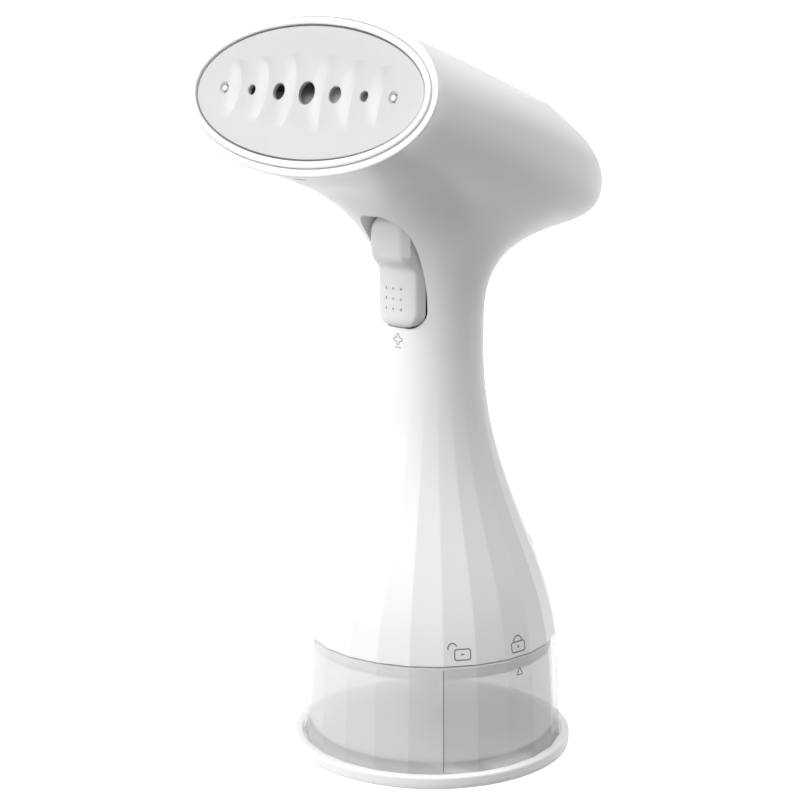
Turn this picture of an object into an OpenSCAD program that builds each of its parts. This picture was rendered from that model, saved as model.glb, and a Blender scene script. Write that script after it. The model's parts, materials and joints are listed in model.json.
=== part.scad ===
// Handheld garment steamer: bottle-shaped body with the water tank as its foot,
// a slim grip, and a wide oval head that looks slightly upwards.
// Millimetres. Front (steam side) towards -Y, +Z up, origin under the middle of the foot.

/* [Foot and tank] */
// Radius of the white foot disc
foot_r = 51.5; // [47:0.5:62]
// Height of the foot disc's top edge
foot_h = 5; // [4:0.1:6]
// Radius of the tank at its foot, over the facet edges
tank_r = 48.2; // [44:0.1:56]
// How much the tank narrows from foot to seam
tank_taper = 2; // [1:0.1:3]
// Wall thickness of the tank
tank_wall = 2.2; // [1.6:0.1:3]
// Height of the seam between tank and body
seam_z = 43.2; // [36:0.2:56]
// Number of flat facets round the tank and the lower body
facets = 24; // [16:4:32]
// Angle of the first facet edge
facet_phase = 3.3; // [0:0.1:15]

/* [Body and grip] */
// Height of the slimmest part of the grip
grip_z = 151.4; // [130:0.2:185]
// Radius of the grip at its slimmest
grip_r = 18.2; // [17:0.1:22]
// Wall thickness of the body
wall = 2.2; // [1.8:0.1:2.8]
// Gap at the seam between tank and body
seam_gap = 0.5; // [0.3:0.1:1]

/* [Head] */
// Half width of the head at the rim
head_a = 60.5; // [52:0.5:72]
// Half height of the head at the rim
head_b = 29.9; // [28:0.1:36]
// Length of the head from rim to tail
head_len = 136; // [115:1:165]
// Upward tilt of the face
face_tilt = 16.4; // [8:0.2:24]
// Distance of the face in front of the grip's axis
face_reach = 62.6; // [56:0.2:75]
// Height of the face's middle above the slimmest part of the grip
face_rise = 91.5; // [86:0.5:110]
// Reach of the smooth blend between grip and head
neck_blend = 31.8; // [20:0.2:36]

/* [Face] */
// Width of the housing's rim outside the bezel, at the sides
rim_w = 3; // [2:0.1:4]
// Height of the housing's rim above and below the bezel
rim_h = 4.2; // [3.5:0.1:5]
// Width of the bezel, seen from the front
bezel_w = 2.9; // [2.4:0.1:3.5]
// Distance between neighbouring steam holes
hole_pitch = 13.5; // [11:0.1:14]
// Radii of the steam holes, from the middle outwards
hole_r = [3.8, 2.75, 1.7, 1.5];
// Thickness of the steam panel
panel_t = 2.4; // [2:0.1:3]

/* [Trigger] */
// Half width of the trigger
trigger_w = 10.4; // [8.5:0.1:11]
// Height of the trigger's lower end above the slimmest part of the grip
trigger_low = 7.6; // [5:0.1:10]
// Height of the trigger's upper end above the slimmest part of the grip
trigger_top = 47.2; // [44:0.1:50]
// How far the trigger stands proud of the grip
trigger_proud = 2.4; // [2:0.1:3.5]
// Travel of the trigger in degrees
trigger_turn = 4.5; // [3:0.5:5]

/* [Pump] */
// Radius of the pump's winding
coil_r = 15; // [13:0.5:17]
// Height of the pump's winding
coil_h = 28; // [22:1:30]
// Outer radius of the water hoses
hose_r = 3.1; // [2.8:0.1:3.3]

/* [Cord inlet] */
// Bore radius of the cord gland
cord_bore = 3.6; // [3:0.1:4]
// Height of the gland's axis above the seam
cord_rise = 21; // [19:0.5:24]

/* [Fits] */
// Gap round parts that are fixed to each other
fit = 0.1; // [0.05:0.05:0.15]
// Radial running clearance of pins, plungers and spigots
run = 0.06; // [0.02:0.01:0.1]
// Gap round parts that move past each other
clear = 0.4; // [0.3:0.1:0.6]

/* [Hidden] */
$fn = 64;

white = "white";
smoke = [0.75, 0.77, 0.79, 0.5];
rubber = [0.3, 0.3, 0.31];
silicone = [0.9, 0.9, 0.88];
steel = [0.7, 0.71, 0.73];
alloy = [0.8, 0.8, 0.82];
brass = [0.8, 0.65, 0.35];

// ---- shared curves -------------------------------------------------------

facet_turn = 360 / facets;
body_z = seam_z + seam_gap;
body_r = tank_r - tank_taper - 0.35;
face_y = -face_reach;
face_z = grip_z + face_rise;

// point on the cubic curve of the body's flank, [radius, height]
flank_low_pull = 33.7;
flank_high_pull = 49.9;
flank_shoulder = 4;
function flank(t) =
    pow(1 - t, 3) * [body_r, body_z]
    + 3 * pow(1 - t, 2) * t * [body_r - flank_shoulder, body_z + flank_low_pull]
    + 3 * (1 - t) * t * t * [grip_r, grip_z - flank_high_pull]
    + t * t * t * [grip_r, grip_z];

// radius of the flank at a height, by halving the curve's parameter
function flank_at(z, lo = 0, hi = 1, n = 18) =
    let (m = (lo + hi) / 2)
    n == 0 ? flank(m)[0] : flank(m)[1] < z ? flank_at(z, m, hi, n - 1) : flank_at(z, lo, m, n - 1);

// share of a facet's radius at an angle: 1 on its edges, less on its flat
function facet_share(angle) =
    let (a = (angle - facet_phase) % facet_turn, b = a < 0 ? a + facet_turn : a)
    cos(facet_turn / 2) / cos(b - facet_turn / 2);

// inner radius of the body at a height, inside the facets' flats
function bore_at(z) = flank_at(z) * cos(facet_turn / 2) - wall * 1.06;

// facets are full at the seam and gone near the grip
facet_fade_len = 62;
function facet_fade(z) =
    let (u = max(0, min(1, (grip_z - 2 - z) / facet_fade_len)))
    u * u * (3 - 2 * u);

function tank_at(z) =
    tank_r - tank_taper * pow(max(z - foot_h, 0) / (seam_z - foot_h), 1.5);

// ---- the head and the upper grip as one smooth surface -------------------

lip_in = [4, 2.2];
lip_len = 5;
under_cut = 1.5;
tail_drop = 6.2;
tail_corner = 2.3;
core_top = -neck_blend * 0.3 - 0.5;

function to_head(p) =
    let (dy = p[1] - face_y, dz = p[2] - face_z)
    [p[0], dy * cos(face_tilt) - dz * sin(face_tilt), dy * sin(face_tilt) + dz * cos(face_tilt)];
function from_head(q) =
    [q[0], face_y + q[1] * cos(face_tilt) + q[2] * sin(face_tilt),
        face_z - q[1] * sin(face_tilt) + q[2] * cos(face_tilt)];

function lip(w) = 1 - exp(-max(w, 0) / lip_len);
function plan_at(w, u) = max(0.5, (head_a - lip_in[0] * lip(w)) * pow(1 - pow(u, 2.7), 1 / 2.6));
function top_at(w, u) =
    max(0.5, (head_b - lip_in[1] * lip(w)) * (1 - 0.15 * u) * pow(1 - pow(u, 6.9), 1 / 2.1));
function under_at(w, u) =
    max(0.5, (head_b - under_cut - (lip_in[1] - under_cut) * lip(w))
        * (1 + 0.1 * u) * pow(1 - pow(u, 3.4), 1 / 1.44));

// signed gap from the head's skin, negative inside
function head_gap(p) =
    let (
        q = to_head(p),
        u = max(0, min(0.9999, q[1] / head_len)),
        v = q[2] + tail_drop * pow(u, 1.5),
        a = plan_at(q[1], u),
        b = v > 0 ? top_at(q[1], u) : under_at(q[1], u),
        n = 2 + (tail_corner - 2) * min(1.6 * u, 1),
        rho = pow(pow(abs(q[0]) / a, n) + pow(abs(v) / b, n), 1 / n)
    )
    max((rho - 1) * min(a, b), q[1] - head_len);

// the grip's core runs up to the middle of the head
head_mid_z = face_z - face_reach * tan(face_tilt);
function grip_gap(p) = max(norm([p[0], p[1]]) - grip_r, p[2] - head_mid_z - core_top);

function soft_join(a, b) =
    let (h = max(neck_blend - abs(a - b), 0) / neck_blend) min(a, b) - h * h * neck_blend / 4;

face_over = 25;
function skin_gap(p) = max(soft_join(head_gap(p), grip_gap(p)), -face_over - to_head(p)[1]);

// distance from the head's middle to the skin along a direction
function reach(dir, level, lo, hi, n) =
    let (m = (lo + hi) / 2)
    n == 0 ? m
    : skin_gap([0, 0, head_mid_z] + m * dir) < level ? reach(dir, level, m, hi, n - 1)
    : reach(dir, level, lo, m, n - 1);

// rings of points, bottom to top: the flank first, then rays from the head's middle
grip_rays = [-72, -69, -66, -62, -58, -54, -50, -45, -40, -35, -30, -25, -20, -15, -10, -5, 0,
    6, 12, 18, 24, 30, 37, 44, 52, 60, 70, 80];
function flank_ring(t, columns, inset, faceted) =
    let (f = flank(t))
    [for (i = [0:columns - 1])
        let (
            a = facet_phase + 360 * i / columns,
            s = faceted ? 1 - facet_fade(f[1]) * (1 - facet_share(a)) : 1,
            r = f[0] * s - inset
        )
        [r * sin(a), -r * cos(a), f[1]]];
function ray_ring(rise, columns, level) =
    [for (i = [0:columns - 1])
        let (
            a = facet_phase + 360 * i / columns,
            dir = [cos(rise) * sin(a), -cos(rise) * cos(a), sin(rise)]
        )
        [0, 0, head_mid_z] + reach(dir, level, 0, 220, 15) * dir];

function flat(rings) = [for (ring = rings) each ring];

// closes a stack of equal rings, bottom to top, into a solid
module ring_stack(rings) {
    n = len(rings[0]);
    last = len(rings) - 1;
    sides = [for (j = [0:last - 1], i = [0:n - 1])
        each [
            [j * n + i, (j + 1) * n + i, (j + 1) * n + (i + 1) % n],
            [j * n + i, (j + 1) * n + (i + 1) % n, j * n + (i + 1) % n]
        ]];
    polyhedron(flat(rings), concat([[for (i = [0:n - 1]) i]],
        sides, [[for (i = [n - 1:-1:0]) last * n + i]]));
}

// rings of exact ovals just behind the rim, where the grip has no influence yet; the last
// ring stands proud by more than the sag of its chords, so it never crosses the other form
rim_zone = 17;
function proud(count) = 0.09 + head_a * (1 - cos(180 / count));
function rim_ring(w, count, level) =
    let (
        u = max(0, w) / head_len,
        n = 2 + (tail_corner - 2) * 1.6 * u,
        a = plan_at(w, u) + level,
        top = top_at(w, u) + level,
        under = under_at(w, u) + level,
        drop = tail_drop * pow(u, 1.5)
    )
    [for (i = [0:count - 1])
        let (c = cos(360 * i / count), s = sin(360 * i / count))
        from_head([a * sign(s) * pow(abs(s), 2 / n), w,
            (c > 0 ? top : under) * sign(c) * pow(abs(c), 2 / n) - drop])];
module rim_form(count, level, w0) {
    ring_stack(concat(
        [for (w = [w0, w0 + 1.6, 6.5, 11]) rim_ring(w, count, level)],
        [rim_ring(rim_zone, count, level + proud(count)), rim_ring(rim_zone + 1, count, level - 1)]));
}

module shell_form(columns, level, flank_steps, faceted) {
    below = [for (i = [0:columns - 1])
        let (
            a = facet_phase + 360 * i / columns,
            r = body_r + level * 1.06
        )
        [r * sin(a), -r * cos(a), body_z - 1]];
    ring_stack(concat(
        faceted ? [] : [below],
        [for (k = [0:flank_steps]) flank_ring(k / flank_steps, columns, -level * 1.06, faceted)],
        [for (rise = grip_rays) ray_ring(rise, columns, level)]));
}

module behind_rim() {
    difference() {
        children();
        in_head() deep(-2 * face_over, rim_zone) square(4 * head_a, center = true);
    }
}

// ---- small helpers -------------------------------------------------------

module in_head() { translate([0, face_y, face_z]) rotate([-face_tilt, 0, 0]) children(); }

// extrudes a drawing in the face's plane from depth w0 to w1 behind the face
module deep(w0, w1) { translate([0, w1, 0]) rotate([90, 0, 0]) linear_extrude(w1 - w0) children(); }

module oval(a, b, n = 72) {
    polygon([for (i = [0:n - 1]) [a * cos(360 * i / n), b * sin(360 * i / n)]]);
}

module oval_ring(a, b, a_in, b_in) { difference() { oval(a, b); oval(a_in, b_in); } }

module tube(r, r_in, z0, z1) {
    translate([0, 0, z0]) difference() {
        cylinder(r = r, h = z1 - z0);
        translate([0, 0, -1]) cylinder(r = r_in, h = z1 - z0 + 2);
    }
}

module rod(r, z0, z1) { translate([0, 0, z0]) cylinder(r = r, h = z1 - z0); }

module block(x, y, z) { translate([x[0], y[0], z[0]]) cube([x[1] - x[0], y[1] - y[0], z[1] - z[0]]); }

// a pan-head screw with its head's underside at z = 0 and its shank upwards
screw_shank = 1.4;
module screw(head_r, head_h, length) { rod(head_r, -head_h, 0); rod(screw_shank, 0, length); }

// round tube swept along a smooth curve through hand-chosen points
function curve_point(p, i, t) =
    let (
        a = p[max(i - 1, 0)], b = p[i], c = p[i + 1], d = p[min(i + 2, len(p) - 1)]
    )
    0.5 * (2 * b + (c - a) * t + (2 * a - 5 * b + 4 * c - d) * t * t
        + (3 * b - a - 3 * c + d) * t * t * t);
module swept_tube(points, r, sides = 10, steps = 2) {
    path = concat([for (i = [0:len(points) - 2], k = [0:steps - 1]) curve_point(points, i, k / steps)],
        [points[len(points) - 1]]);
    last = len(path) - 1;
    ring_stack([for (i = [0:last])
        let (
            ahead = path[min(i + 1, last)] - path[max(i - 1, 0)],
            t = ahead / norm(ahead),
            n0 = cross(t, [1, 0, 0]),
            n = n0 / norm(n0),
            b = cross(t, n)
        )
        [for (k = [0:sides - 1])
            path[i] + r * (cos(360 * k / sides) * n - sin(360 * k / sides) * b)]]);
}

// a wire coil along +Z from z0 to z1
module coil_spring(r, wire, z0, z1, turns, per_turn = 14, sides = 6) {
    count = turns * per_turn;
    low = z0 + wire;
    rise = (z1 - z0 - 2 * wire) / count;
    ring_stack([for (i = [0:count])
        let (a = 360 * i / per_turn, out = [cos(a), sin(a), 0], mid = r * out + [0, 0, low + rise * i])
        [for (k = [0:sides - 1])
            mid + wire * (cos(-360 * k / sides) * out + sin(-360 * k / sides) * [0, 0, 1])]]);
}

// ---- foot and tank -------------------------------------------------------

floor_t = 2.6;
tank_seat = foot_h - 0.4;
pad_r = foot_r - 3;
pad_h = 1.6;
pad_show = 0.8;

module foot_pad() color(rubber) rod(pad_r, 0, pad_h);

module base_disc() color(white) difference() {
    rotate_extrude() polygon(concat(
        [[0, pad_show], [foot_r - 1.4, pad_show]],
        [for (i = [0:4:90]) [foot_r - 1.6 + 1.6 * sin(i), foot_h - 1.6 - 1.4 * cos(i)]],
        [for (i = [0:6:90]) [foot_r - 1.6 + 1.6 * cos(i), foot_h - 1.6 + 1.6 * sin(i)]],
        [[0, foot_h]]));
    rod(pad_r + fit, pad_show - 1, pad_h);
    rod(tank_r + 0.25, tank_seat, foot_h + 1);
}

lid_z = seam_z - 5;
lid_t = 2;
lid_r = tank_at(lid_z) * cos(facet_turn / 2) - tank_wall - fit;

tank_floor = tank_seat + floor_t;
function tank_bore(z) = tank_at(z) * cos(facet_turn / 2) - tank_wall;
module tank_shell() color(smoke) difference() {
    ring_stack([for (k = [0:5])
        let (z = tank_seat + (seam_z - tank_seat) * k / 5)
        [for (i = [0:facets - 1])
            let (a = facet_phase + facet_turn * i) tank_at(z) * [sin(a), -cos(a), 0] + [0, 0, z]]]);
    rotate_extrude() polygon(concat(
        [[0, tank_floor], [tank_bore(foot_h) - 1, tank_floor]],
        [for (k = [0:4])
            let (z = tank_floor + 1 + (lid_z - tank_floor - 1) * k / 4) [tank_bore(z), z]],
        [[lid_r + fit, lid_z], [lid_r + fit, seam_z + 1], [0, seam_z + 1]]));
}

spigot_r = 5;
spigot_top = seam_z + 7.8;
suction_r = 2.4;
plug_y = -22;
plug_r = 6.9;
plug_head_r = 9.2;
lid_top = lid_z + lid_t;
collar_r = lid_r - 8;
collar_t = 2.2;
lug_reach = 2.2;
lug_turn = 14;
lock_angle = 85.8;
seal_groove = 1.4;

module arc_block(r_in, r_out, z0, z1, middle, spread) {
    rotate([0, 0, middle - 90 - spread / 2]) rotate_extrude(angle = spread)
        polygon([[r_in, z0], [r_out, z0], [r_out, z1], [r_in, z1]]);
}

module tank_lid() color(white) difference() {
    union() {
        rod(lid_r, lid_z, lid_top);
        tube(lid_r, lid_r - 1.6, lid_top - 0.5, seam_z - 0.2);
        tube(collar_r, collar_r - collar_t, lid_top - 0.5, seam_z + 5.6);
        for (i = [0:2])
            arc_block(collar_r - 1, collar_r + lug_reach, seam_z + 2.6, seam_z + 5,
                lock_angle + 120 * i, lug_turn);
        rod(spigot_r, lid_top - 0.5, spigot_top);
        rod(spigot_r - 0.8, lid_z - 5, lid_z + 0.5);
    }
    rod(suction_r + fit, lid_z - 6, spigot_top - 2);
    rod(1.6, spigot_top - 3, spigot_top + 1);
    translate([0, plug_y, 0]) rod(plug_r + run, lid_z - 1, lid_top + 1);
    tube(lid_r + 1, lid_r - seal_groove, lid_z + 0.5, lid_z + 1.5);
}

module tank_lid_seal() color(silicone)
    tube(lid_r + fit / 2, lid_r - seal_groove + fit / 2, lid_z + 0.55, lid_z + 1.45);

module suction_tube() color(silicone) tube(suction_r, 1.5, tank_floor + 2, lid_top - 0.5);

module suction_strainer() color(steel) difference() {
    rod(4, tank_floor + 0.4, tank_floor + 7);
    rod(suction_r + fit, tank_floor + 2 - fit, tank_floor + 8);
    for (i = [0:5]) rotate([0, 0, 60 * i]) translate([2.6, -0.5, tank_floor]) cube([3, 1, 5]);
}

module filler_plug() color(rubber) translate([0, plug_y, 0]) {
    rod(plug_r, lid_z - 1, lid_top + 0.5);
    rod(plug_head_r, lid_top + 0.1, lid_top + 1.6);
    block([-4, 4], [-1, 1], [lid_top + 1.5, lid_top + 2.6]);
}

// ---- dock between body and tank ------------------------------------------

plug_lift = 9;
dock_z = lid_top + 2.6 + plug_lift + 1.2;
dock_t = 2.2;
dock_top = dock_z + dock_t;
dock_r = bore_at(dock_top) - fit;
seal_r = spigot_r + 3;
seal_z = [seam_z + 3.6, seam_z + 6.8];
screw_r = dock_r - 7.6;
screw_angles = [60, 120, 240, 300];
boss_r = 3.8;
boss_top = dock_top + 13;
nipple_top = dock_top + 5;
nipple_r = 3;

function round_at(r, a) = [r * sin(a), -r * cos(a), 0];

module dock_seal() color(silicone) tube(seal_r, spigot_r + run, seal_z[0], seal_z[1]);

module dock_cover() color(white) difference() {
    union() {
        rod(dock_r, dock_z, dock_top);
        tube(dock_r, dock_r - 1.6, body_z + 0.4, dock_z + 0.5);
        rotate_extrude() polygon([[dock_r - 1, body_z + 0.4], [bore_at(body_z + 0.4) - fit, body_z + 0.4],
            [bore_at(body_z + 2.4) - fit, body_z + 2.4], [dock_r - 1, body_z + 2.4]]);
        for (i = [0:2])
            arc_block(collar_r + lug_reach + clear, dock_r - 1, seam_z + 1, seam_z + 2.3,
                lock_angle + 120 * i, lug_turn + 6);
        rod(seal_r + 2, seal_z[1], dock_z + 0.5);
        tube(seal_r + 2, seal_r + run, seal_z[0] - 0.2, dock_z + 0.5);
        rod(nipple_r, dock_top - 0.5, nipple_top);
        for (y = [-14, 10.9]) block([19.2, 24.4], [y, y + 3.1], [dock_top - 0.5, dock_top + 22]);
    }
    rod(spigot_r + clear, seal_z[1] - 1, spigot_top + 0.6);
    rod(1.6, spigot_top, nipple_top + 1);
    block([board_x - fit, board_x + board_t + fit], [-board_half - fit, board_half + fit],
        [board_z0 - fit, dock_top + 30]);
    for (a = screw_angles) translate(round_at(screw_r, a)) rod(screw_shank + fit, dock_z - 1, dock_top + 1);
}

module dock_screws() color(steel)
    for (a = screw_angles) translate(round_at(screw_r, a) + [0, 0, dock_z]) screw(2.8, 1.6, 11);

// ---- one-piece housing ---------------------------------------------------

slot_side = 0.7;
gland_y = bore_at(body_z + cord_rise) + 2.8;
gland_z = body_z + cord_rise;
boss_in = gland_y - 6.2;
boss_out = gland_y + 4.4;
gland_r = 5.9;
bezel_a = head_a - rim_w;
bezel_b = head_b - rim_h;
panel_a = bezel_a - bezel_w - 0.3;
panel_b = bezel_b - bezel_w - 0.3;
bezel_flange = 1.9;
skirt_deep = 9;

// outline of the trigger seen from the front: straight sides and round ends
pad_corner = [6, 7.4];
module pad_outline(half, low, high, grow) {
    hull() for (s = [-1, 1], end = [0, 1])
        translate([s * (half - pad_corner[end]), end == 0 ? low + pad_corner[0] : high - pad_corner[1]])
            circle(pad_corner[end] + grow, $fn = 40);
}

module cord_boss() {
    translate([0, boss_out, gland_z]) rotate([90, 3, 0])
        cylinder(r = gland_r + 3.5, h = boss_out - boss_in, $fn = 48);
}

// the housing's slot for the bezel's latch, under the rim
latch_x = 6;
latch_w = [4, 5.4];

rim_face = 0.4;
cavity_front = 4.6;
module main_housing() color(white) resize([0, 0, 0]) difference() {
    union() {
        behind_rim() shell_form(2 * facets, 0, 12, true);
        rim_form(64, 0, rim_face);
        cord_boss();
    }
    difference() {
        union() {
            behind_rim() shell_form(facets, -wall, 8, false);
            rim_form(36, -wall, cavity_front);
        }
        cord_boss();
        for (a = screw_angles) {
            translate(round_at(screw_r, a)) rod(boss_r, dock_top + fit, boss_top);
            rotate([0, 0, a - 90]) block([screw_r, body_r], [-1.2, 1.2], [dock_top + fit, boss_top]);
        }
        at_frame_screws(web_y[1] + fit) cylinder(r = frame_post_r, h = grip_r - web_y[1] - 2);
    }
    in_head() {
        deep(-2, bezel_flange + fit) oval(bezel_a, bezel_b);
        deep(1, skirt_deep + 1) oval(panel_a + 0.9, panel_b + 1);
        deep(latch_w[0], latch_w[1]) translate([0, -head_b]) square([latch_x, 14], center = true);
    }
    translate([0, -10, grip_z]) rotate([90, 0, 0]) linear_extrude(30)
        pad_outline(trigger_w, trigger_low, trigger_top, slot_side);
    translate([0, boss_out + 1, gland_z]) rotate([90, 0, 0]) cylinder(r = gland_r + fit, h = 40);
    for (a = screw_angles) translate(round_at(screw_r, a)) rod(screw_shank + 0.05, dock_top, dock_top + 10);
    at_frame_screws(web_y[1]) cylinder(r = screw_shank + 0.05, h = 8);
}

// ---- pump ----------------------------------------------------------------

yoke_t = 2;
pump_z = dock_top + 12.3;
coil_z = pump_z + yoke_t + 0.4;
yoke_top = coil_z + coil_h + 0.4;
tube_r = 6.5;
plunger_r = 4.9;
tube_low = pump_z - 0.6;
tube_high = yoke_top + yoke_t + 9;
outlet_top = tube_high + 6;
mount_x = 12.5;

module pump_mounts() color(rubber) for (s = [-1, 1])
    translate([s * mount_x, 0, 0]) rod(4, dock_top, pump_z);

module pump_yoke() color(steel) difference() {
    union() {
        block([-coil_r - yoke_t, coil_r + yoke_t], [-10, 10], [pump_z, pump_z + yoke_t]);
        block([-coil_r - yoke_t, coil_r + yoke_t], [-10, 10], [yoke_top, yoke_top + yoke_t]);
        block([coil_r + 0.2, coil_r + yoke_t], [-10, 10], [pump_z, yoke_top + yoke_t]);
        block([-coil_r - yoke_t, -coil_r - 0.2], [-10, 10], [pump_z, yoke_top + yoke_t]);
    }
    rod(tube_r + fit, pump_z - 1, yoke_top + yoke_t + 1);
}

module pump_coil() color([0.25, 0.25, 0.28]) tube(coil_r, tube_r + fit, coil_z, coil_z + coil_h);

module pump_tube() color(silicone) difference() {
    union() {
        rod(tube_r, tube_low, tube_high);
        rod(nipple_r, tube_low - 5.4, tube_low + 0.5);
        rod(hose_r - 1, tube_high - 0.5, outlet_top);
    }
    rod(plunger_r + run, tube_low + 3, tube_high - 3);
    rod(1.3, tube_low - 6, outlet_top + 1);
}

plunger_z = [tube_low + 7, tube_low + 26];

module pump_plunger() color(steel) tube(plunger_r, 1.4, plunger_z[0], plunger_z[1]);

module pump_spring() color(steel) coil_spring(3.6, 0.45, plunger_z[1] + 0.1, tube_high - 3.1, 5);

module suction_hose() color(silicone) tube(hose_r + 1, nipple_r + fit / 2, dock_top + 0.6, tube_low - 0.9);

// ---- hose and wires up the grip ------------------------------------------

nozzle_x = -20;
nozzle_w = 34;
hose_path = concat(
    [[0, 0, outlet_top + 0.1], [0, 0, outlet_top + 2.5], [0, 0.1, outlet_top + 5],
        [0, 4.5, outlet_top + 13]],
    [for (k = [0:4]) [0, 8.6, grip_z - 8 + 11 * k]],
    [[-1, 8.6, grip_z + 46], [-5, 5, head_mid_z - 14], [-13, -4, head_mid_z - 2]],
    [from_head([nozzle_x, nozzle_w + 14, -2]), from_head([nozzle_x, nozzle_w + 5, 0]),
        from_head([nozzle_x, nozzle_w + 2.5, 0]), from_head([nozzle_x, nozzle_w + 0.1, 0])]);

module supply_hose() color(silicone) swept_tube(hose_path, hose_r - 0.2);

// soft sleeves that join the hose to the pump's outlet and to the steam chamber's inlet
inlet_r = 2.1;
module hose_sleeves() color(rubber) {
    sleeve(hose_r - 1, outlet_top - 5, outlet_top, outlet_top + 2.5);
    in_head() translate([nozzle_x, 0, 0]) rotate([-90, 0, 0])
        sleeve(inlet_r, nozzle_w - 4, nozzle_w, nozzle_w + 2.5);
}
module sleeve(r, z0, z1, z2) {
    tube(hose_r + 0.6, r + fit / 2, z0, z1);
    tube(hose_r + 0.6, hose_r + 0.1, z1, z2);
}

module hose_clips() color(steel) {
    for (z = [dock_top + 1.2, tube_low - 4]) tube(hose_r + 1.9, hose_r + 1.02, z, z + 2);
    tube(hose_r + 1.4, hose_r + 0.62, outlet_top - 4, outlet_top - 2);
    in_head() translate([nozzle_x, nozzle_w - 1, 0]) rotate([90, 0, 0])
        tube(hose_r + 1.4, hose_r + 0.62, 0, 2);
}

lead_x = 10.2;
lead_gap = 1.5;
function lead_path(s) =
    let (off = s * lead_gap)
    concat(
        [[board_x - 2.4, 2 * off, board_z1 - 3], [board_x - 2.2, 2 * off + 1, board_z1 + 6],
            [board_x - 3, off + 4, board_z1 + 15], [lead_x + 3.4, off + 6.6, board_z1 + 24]],
        [for (k = [0:5]) [lead_x, 7.6 + off, grip_z - 26 + 13 * k]],
        [[lead_x + 1, 6 + off, grip_z + 50], [15, -2 + off, head_mid_z - 8]],
        [from_head([17 + 4 * s, 44, -1]), from_head([17 + 4 * s, 36, 0])]);

module heater_leads() color([0.85, 0.85, 0.8]) for (s = [-1, 1]) swept_tube(lead_path(s), 1.1, 8);

// ---- electrics in the body -----------------------------------------------

board_x = 21.4;
board_t = 1.6;
board_half = 12;
board_z0 = dock_top + 1.5;
board_z1 = board_z0 + 31;

module control_board() color([0.1, 0.4, 0.2])
    block([board_x, board_x + board_t], [-board_half, board_half], [board_z0, board_z1]);

module board_components() color([0.15, 0.15, 0.16]) {
    block([board_x + board_t, board_x + board_t + 4.6], [-8, 2], [board_z0 + 3, board_z0 + 16]);
    block([board_x + board_t, board_x + board_t + 2.4], [4.2, 9], [board_z0 + 3, board_z0 + 9]);
    for (k = [0:2]) translate([board_x + board_t, -6 + 5.2 * k, board_z0 + 21])
        rotate([0, 90, 0]) cylinder(r = 1.9, h = 3.4);
    for (y = [-4, 2]) block([board_x - 1.4, board_x], [y, y + 2], [board_z1 - 6.4, board_z1 - 4.2]);
}

module terminal_block() color(white) difference() {
    block([-27.5, -18.5], [-10, 10], [dock_top, dock_top + 10]);
    for (k = [-1:1]) translate([-23, 6.2 * k, 0]) rod(1.7, dock_top + 5, dock_top + 11);
}

module cord_gland() color(white) translate([0, 0, gland_z]) rotate([-90, 0, 0]) difference() {
    union() {
        rod(gland_r, boss_in - 4.6, boss_out + 0.5);
        rod(gland_r + 2.4, boss_out, boss_out + 2.6);
    }
    rod(cord_bore, boss_in - 6, boss_out + 4);
}

module gland_nut() color(white) translate([0, 0, gland_z]) rotate([-90, 0, 0])
    difference() {
        translate([0, 0, boss_in - 3.4]) rotate([0, 0, 30]) cylinder(r = gland_r + 2.6, h = 3.4, $fn = 6);
        rod(gland_r + fit / 2, boss_in - 5, boss_in + 1);
    }

// ---- switch, trigger and their frame in the grip -------------------------

hinge_y = -12.6;
hinge_z = grip_z + trigger_top - 2.6;
pin_r = 1.25;
web_y = [1, 3];
web_half = 10.6;
ear_x = [11.3, 13];
switch_z = [grip_z + 9, grip_z + 28];
push_z = grip_z + 19.6;
plunger_tip = -9.5;
switch_front = -6.5;
rib_gap = 0.2;
pad_y = -grip_r - trigger_proud;
pad_back = -grip_r + wall + 1;
spring_z = switch_z[1] + 4;

// screws that hold the frame to two posts on the rear wall
frame_screw_x = 6.4;
frame_screw_z = switch_z[0] + 3;
frame_post_r = 2.4;
module at_frame_screws(y) for (s = [-1, 1])
    translate([s * frame_screw_x, y, frame_screw_z]) rotate([-90, 0, 0]) children();

module mirrored(s) { scale([s, 1, 1]) children(); }

module neck_chassis() color(white) difference() {
    union() {
        block([-web_half, web_half], web_y, [grip_z - 6, hinge_z + 6]);
        for (s = [-1, 1]) {
            mirrored(s) block(ear_x, [hinge_y - 3, web_y[1]], [hinge_z - 4, hinge_z + 6]);
            mirrored(s) block([web_half - 1, ear_x[1]], web_y, [hinge_z - 4, hinge_z + 6]);
        }
    }
    translate([-20, hinge_y, hinge_z]) rotate([0, 90, 0]) cylinder(r = pin_r + 0.02, h = 40);
    at_frame_screws(0) cylinder(r = screw_shank + fit, h = 2 * web_y[1]);
}

module chassis_screws() color(steel) at_frame_screws(web_y[0]) screw(2.6, 1.6, 8);

// the plunger's room in the switch follows the trigger's travel at its height
push_r = 1.2;
plunger_end = switch_front + 1.4;
plunger_travel = (hinge_z - push_z) * sin(trigger_turn);

module switch_body() color([0.12, 0.12, 0.13]) difference() {
    block([-3.2, 3.2], [switch_front, web_y[0]], switch_z);
    translate([0, plunger_end + plunger_travel + 0.6, push_z]) rotate([90, 0, 0])
        cylinder(r = push_r + run, h = 8);
}

module switch_plunger() color([0.8, 0.2, 0.15]) translate([0, plunger_end, push_z])
    rotate([90, 0, 0]) cylinder(r = push_r, h = plunger_end - plunger_tip);

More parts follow.
